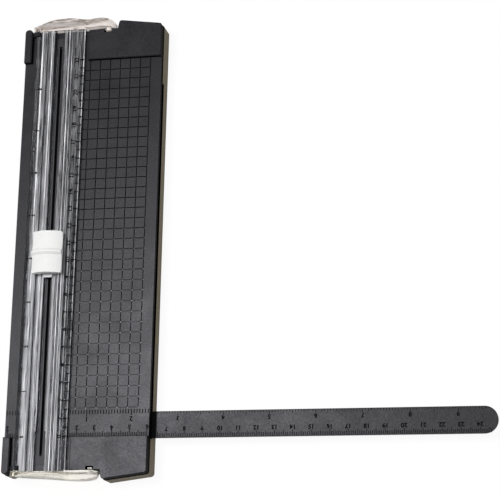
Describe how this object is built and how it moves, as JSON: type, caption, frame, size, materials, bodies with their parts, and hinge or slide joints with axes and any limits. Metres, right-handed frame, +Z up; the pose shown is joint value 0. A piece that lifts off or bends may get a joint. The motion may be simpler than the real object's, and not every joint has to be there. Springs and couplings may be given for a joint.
{
  "type": "sliding paper trimmer",
  "caption": "Desk paper trimmer with a gridded deck, a clear hinged guide, a sliding push-down cutter and a flat ruler arm that swings out from under the deck.",
  "frame": {"origin": "on the desk plane, under the cutting line at the middle of the trimmer's length", "axes": "+X across the cut towards the grid and the ruler, +Y along the cut away from the scale's zero, +Z up from the desk"},
  "size_m": [0.2713, 0.2682, 0.0264],
  "materials": {
    "charcoal_plastic": "fine textured charcoal",
    "tray_plastic": "textured warm grey",
    "strip_plastic": "smooth dark",
    "foot_rubber": "matt rubber",
    "steel": "bright steel",
    "clear_plastic": "clear moulded",
    "grey_plastic": "satin grey",
    "white_plastic": "satin white"
  },
  "bodies": {
    "base": {"deck": "charcoal_plastic", "tray": "tray_plastic", "cutting_strip": "strip_plastic", "left_foot_strip": "foot_rubber", "right_foot_strip": "foot_rubber", "tray_screws": "steel", "front_hinge_pin": "steel", "rear_hinge_pin": "steel", "pivot_screw": "steel", "pivot_washer": "steel"},
    "rail": {"left_rail_strip": "clear_plastic", "right_rail_strip": "clear_plastic", "front_end_cap": "clear_plastic", "rear_end_cap": "clear_plastic"},
    "carriage": {"slider": "grey_plastic", "return_springs": "steel"},
    "cutter_head": {"thumb_cap": "white_plastic", "blade_holder": "grey_plastic", "blade": "steel", "blade_pin": "steel"},
    "ruler": {"ruler_arm": "charcoal_plastic"}
  },
  "joints": [
    {"name": "ruler_swing", "type": "hinge", "parent": "base", "child": "ruler", "pos_m": [0.052, -0.1032, 0.0106], "axis": [0, 0, 1], "range_deg": [0, 90]},
    {"name": "rail_lift", "type": "hinge", "parent": "base", "child": "rail", "pos_m": [-0.0142, 0, 0.0166], "axis": [0, -1, 0], "range_deg": [0, 80]},
    {"name": "carriage_slide", "type": "slide", "parent": "rail", "child": "carriage", "axis": [0, 1, 0], "range_m": [-0.1086, 0.1214]},
    {"name": "blade_press", "type": "slide", "parent": "carriage", "child": "cutter_head", "axis": [0, 0, -1], "range_m": [0, 0.0022], "stiffness_N_per_m": 600}
  ]
}
